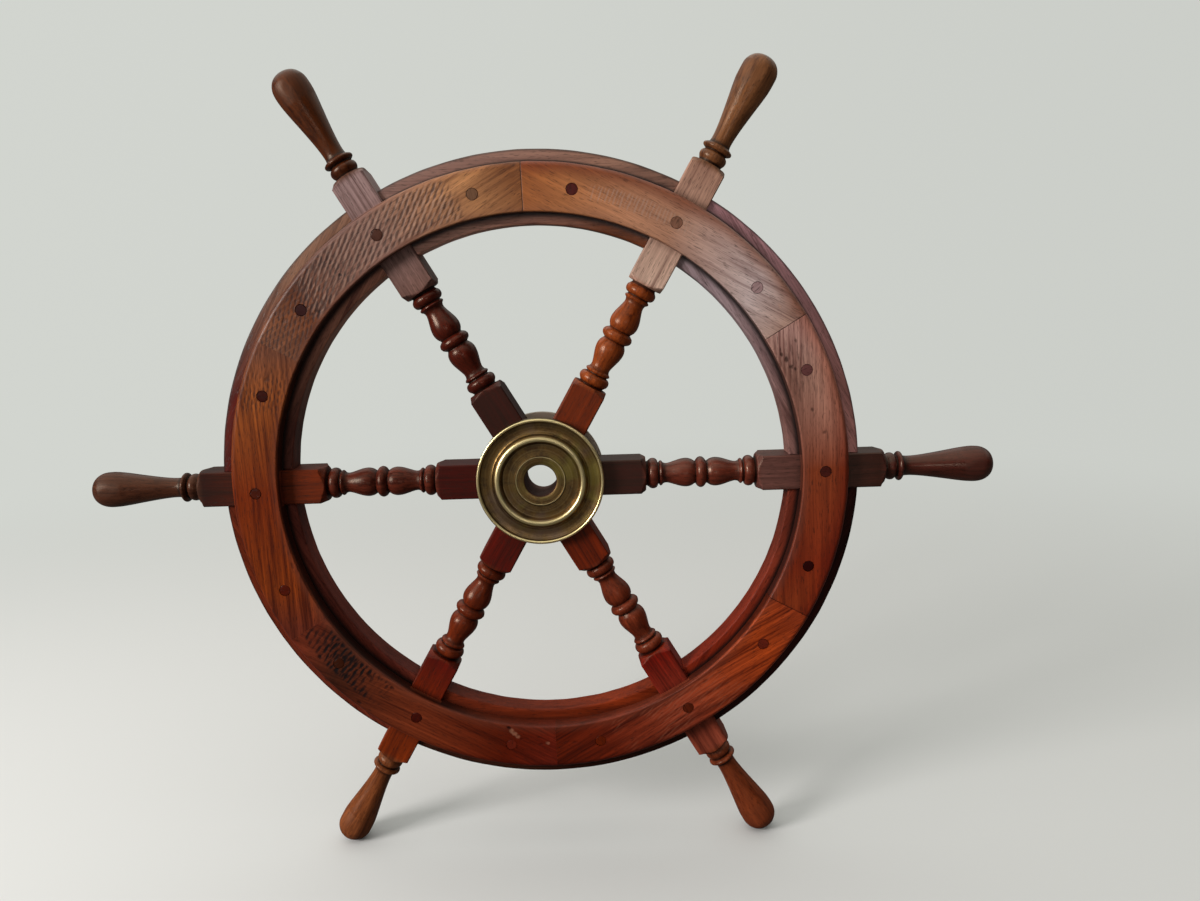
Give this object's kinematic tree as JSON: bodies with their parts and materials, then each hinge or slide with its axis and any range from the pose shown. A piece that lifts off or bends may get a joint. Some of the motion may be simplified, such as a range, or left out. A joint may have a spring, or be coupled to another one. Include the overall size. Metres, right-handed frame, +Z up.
{
  "type": "ship steering wheel",
  "caption": "Wooden ship's steering wheel with turned spokes and handles, a layered dowelled rim and a round brass hub with an open shaft bore.",
  "frame": {"origin": "centre of the wheel, on the shaft axis, at half the rim's thickness", "axes": "+X along a spoke towards its handle, +Y along the shaft axis from the front face to the rear face, +Z up in the wheel's plane"},
  "size_m": [0.914, 0.06, 0.7978],
  "materials": {
    "felloe_wood": "varnished orange-brown rosewood, satin to gloss",
    "middle_wood": "varnished dark brown rosewood, satin",
    "spoke_wood": "varnished red-brown rosewood, glossy on the turned lengths",
    "dowel_wood": "dark end grain, flush and varnished over",
    "hub_brass": "aged brass, turned, brighter on the raised rings",
    "screw_brass": "aged brass screw heads"
  },
  "bodies": {
    "root": {"spoke_1": "spoke_wood", "spoke_2": "spoke_wood", "spoke_3": "spoke_wood", "spoke_4": "spoke_wood", "spoke_5": "spoke_wood", "spoke_6": "spoke_wood", "front_felloe_1": "felloe_wood", "front_felloe_2": "felloe_wood", "front_felloe_3": "felloe_wood", "front_felloe_4": "felloe_wood", "front_felloe_5": "felloe_wood", "front_felloe_6": "felloe_wood", "middle_felloe_1": "middle_wood", "middle_felloe_2": "middle_wood", "middle_felloe_3": "middle_wood", "middle_felloe_4": "middle_wood", "middle_felloe_5": "middle_wood", "middle_felloe_6": "middle_wood", "rear_felloe_1": "felloe_wood", "rear_felloe_2": "felloe_wood", "rear_felloe_3": "felloe_wood", "rear_felloe_4": "felloe_wood", "rear_felloe_5": "felloe_wood", "rear_felloe_6": "felloe_wood", "dowel_1a": "dowel_wood", "dowel_1b": "dowel_wood", "dowel_1c": "dowel_wood", "dowel_2a": "dowel_wood", "dowel_2b": "dowel_wood", "dowel_2c": "dowel_wood", "dowel_3a": "dowel_wood", "dowel_3b": "dowel_wood", "dowel_3c": "dowel_wood", "dowel_4a": "dowel_wood", "dowel_4b": "dowel_wood", "dowel_4c": "dowel_wood", "dowel_5a": "dowel_wood", "dowel_5b": "dowel_wood", "dowel_5c": "dowel_wood", "dowel_6a": "dowel_wood", "dowel_6b": "dowel_wood", "dowel_6c": "dowel_wood", "hub_front_flange": "hub_brass", "hub_rear_flange": "hub_brass", "hub_bush": "hub_brass", "hub_screw_1": "screw_brass", "hub_screw_2": "screw_brass", "hub_screw_3": "screw_brass", "hub_screw_4": "screw_brass", "hub_screw_5": "screw_brass", "hub_screw_6": "screw_brass"}
  },
  "joints": []
}
